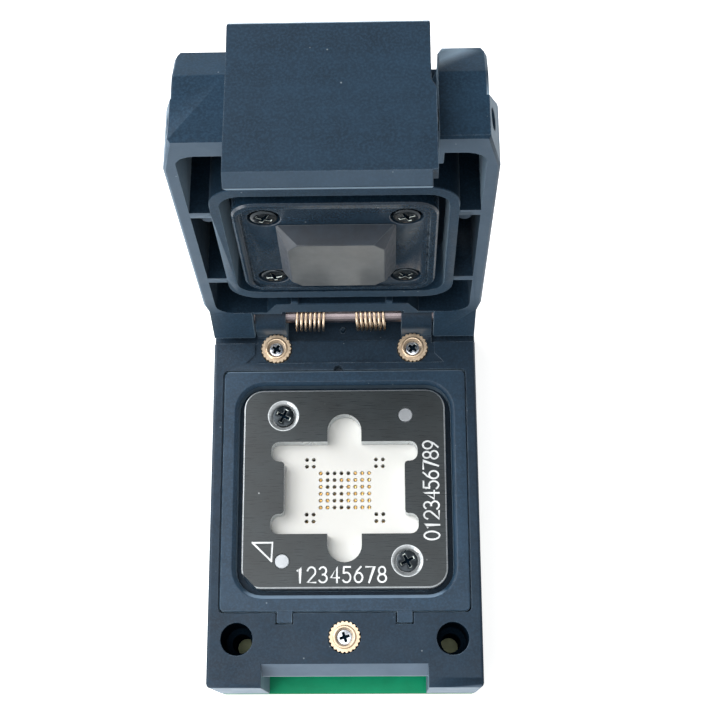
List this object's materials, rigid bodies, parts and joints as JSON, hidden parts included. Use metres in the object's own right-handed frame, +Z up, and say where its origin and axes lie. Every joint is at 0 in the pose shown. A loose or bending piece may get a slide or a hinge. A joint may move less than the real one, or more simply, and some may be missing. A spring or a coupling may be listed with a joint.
{
  "type": "ic test socket",
  "caption": "Clamshell test socket for a small ball grid chip: latched sprung lid with pusher, floating guide frame over sprung probes, on its adapter board.",
  "frame": {"origin": "on the board's flat underside, below the middle of the chip seat", "axes": "+X to the right, +Y towards the hinge, +Z up; the lid stands open, as in the picture"},
  "size_m": [0.0312, 0.0558, 0.0612],
  "materials": {
    "black_plastic": "moulded, lightly satin",
    "green_board": "solder-masked board",
    "black_anodised": "black anodised, bright cut edges",
    "white_plastic": "matte",
    "probe_gold": "gold-plated pins in their holder",
    "brass": "knurled, slightly worn",
    "bright_steel": "zinc-plated",
    "polished_steel": "ground",
    "black_oxide_steel": "black oxide",
    "spring_steel": "drawn wire",
    "spring_copper": "drawn wire with a copper tone"
  },
  "bodies": {
    "base": {"adapter_board": "green_board", "base_housing": "black_plastic", "cover_plate": "black_plastic", "probe_block": "probe_gold", "insert_rear_left": "brass", "insert_rear_right": "brass", "insert_front": "brass", "board_screw_rear_left": "bright_steel", "board_screw_rear_right": "bright_steel", "board_screw_front": "bright_steel", "hinge_shaft": "bright_steel", "torsion_spring_left": "spring_copper", "torsion_spring_right": "spring_copper", "table_spring_front_left": "spring_steel", "table_spring_front_right": "spring_steel", "table_spring_rear_left": "spring_steel", "table_spring_rear_right": "spring_steel"},
    "table": {"guide_frame": "black_anodised", "table_carrier": "black_plastic", "pin_plate": "white_plastic", "frame_screw_rear_left": "black_oxide_steel", "frame_screw_front_right": "black_oxide_steel", "frame_dowel_rear_right": "polished_steel", "frame_dowel_front_left": "polished_steel"},
    "lid": {"lid_frame": "black_plastic", "latch_pin": "black_oxide_steel", "latch_spring_left": "spring_steel", "latch_spring_right": "spring_steel", "pusher_screw_left_rear": "black_oxide_steel", "pusher_screw_left_front": "black_oxide_steel", "pusher_screw_right_rear": "black_oxide_steel", "pusher_screw_right_front": "black_oxide_steel", "pusher_spring_left_rear": "spring_steel", "pusher_spring_left_front": "spring_steel", "pusher_spring_right_rear": "spring_steel", "pusher_spring_right_front": "spring_steel"},
    "latch": {"latch": "black_plastic"},
    "pusher": {"pusher_plate": "black_plastic", "pressure_block": "black_anodised"}
  },
  "joints": [
    {"name": "lid_hinge", "type": "hinge", "parent": "base", "child": "lid", "pos_m": [0, 0.0201, 0.0163], "axis": [1, 0, 0], "range_deg": [0, 95.8], "stiffness_Nm_per_rad": 0.004, "springref_deg": -143.24},
    {"name": "table_slide", "type": "slide", "parent": "base", "child": "table", "axis": [0, 0, -1], "range_m": [0, 0.0005], "stiffness_N_per_m": 4000, "springref_m": -0.0008, "deforming": ["table_spring_front_left", "table_spring_front_right", "table_spring_rear_left", "table_spring_rear_right"]},
    {"name": "latch_pivot", "type": "hinge", "parent": "lid", "child": "latch", "pos_m": [0, 0.0257, 0.05543], "axis": [-1, 0, 0], "range_deg": [0, 11], "stiffness_Nm_per_rad": 0.02, "springref_deg": -34.38},
    {"name": "pusher_slide", "type": "slide", "parent": "lid", "child": "pusher", "axis": [0, 0.9949, -0.1011], "range_m": [0, 0.0009], "stiffness_N_per_m": 6000, "springref_m": -0.001}
  ]
}
